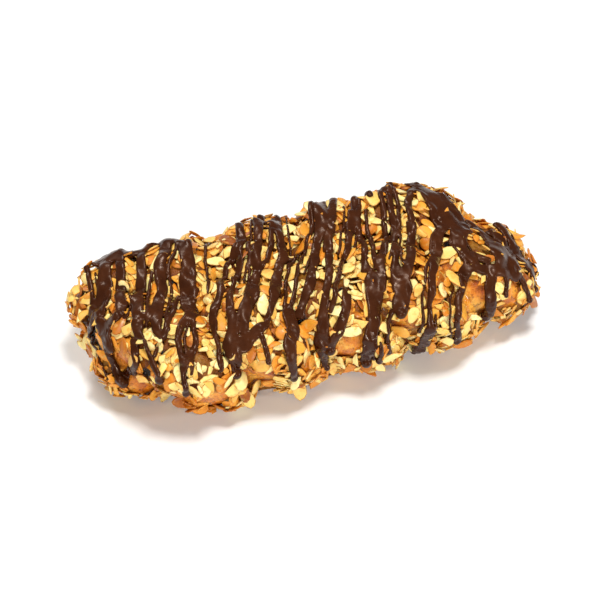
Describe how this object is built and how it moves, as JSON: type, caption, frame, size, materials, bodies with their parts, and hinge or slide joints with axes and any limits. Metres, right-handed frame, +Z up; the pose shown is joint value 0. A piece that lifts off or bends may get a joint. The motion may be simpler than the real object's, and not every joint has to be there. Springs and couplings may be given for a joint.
{
  "type": "braided loaf",
  "caption": "Sweet loaf of three plaited strands on a flat baked base, coated with flaked almonds and drizzled across with dark chocolate.",
  "frame": {"origin": "middle of the bounding box's bottom, on the flat base the loaf stands on", "axes": "+X along the loaf's length towards its chocolate-coated end, +Z up, -Y towards the front"},
  "size_m": [0.254, 0.1176, 0.0681],
  "materials": {
    "crust": "satin egg-washed crust, orange brown to dark brown",
    "chocolate": "satin to glossy dark chocolate",
    "almond": "dry toasted nut, cream with amber edges"
  },
  "bodies": {
    "root": {"loaf": "crust", "chocolate_drizzle": "chocolate", "almond_flake_01": "almond", "almond_flake_02": "almond", "almond_flake_03": "almond", "almond_flake_04": "almond", "almond_flake_05": "almond", "almond_flake_06": "almond", "almond_flake_07": "almond", "almond_flake_08": "almond", "almond_flake_09": "almond", "almond_flake_10": "almond", "almond_flake_11": "almond", "almond_flake_12": "almond", "almond_flake_13": "almond", "almond_flake_14": "almond", "almond_flake_15": "almond", "almond_flake_16": "almond", "almond_flake_17": "almond", "almond_flake_18": "almond", "almond_flake_19": "almond", "almond_flake_20": "almond", "almond_flake_21": "almond", "almond_flake_22": "almond", "almond_flake_23": "almond", "almond_flake_24": "almond", "almond_flake_25": "almond", "almond_flake_26": "almond", "almond_flake_27": "almond", "almond_flake_28": "almond", "almond_flake_29": "almond", "almond_flake_30": "almond", "almond_flake_31": "almond", "almond_flake_32": "almond", "almond_flake_33": "almond", "almond_flake_34": "almond", "almond_flake_35": "almond", "almond_flake_36": "almond", "almond_flake_37": "almond", "almond_flake_38": "almond", "almond_flake_39": "almond", "almond_flake_40": "almond"}
  },
  "joints": []
}
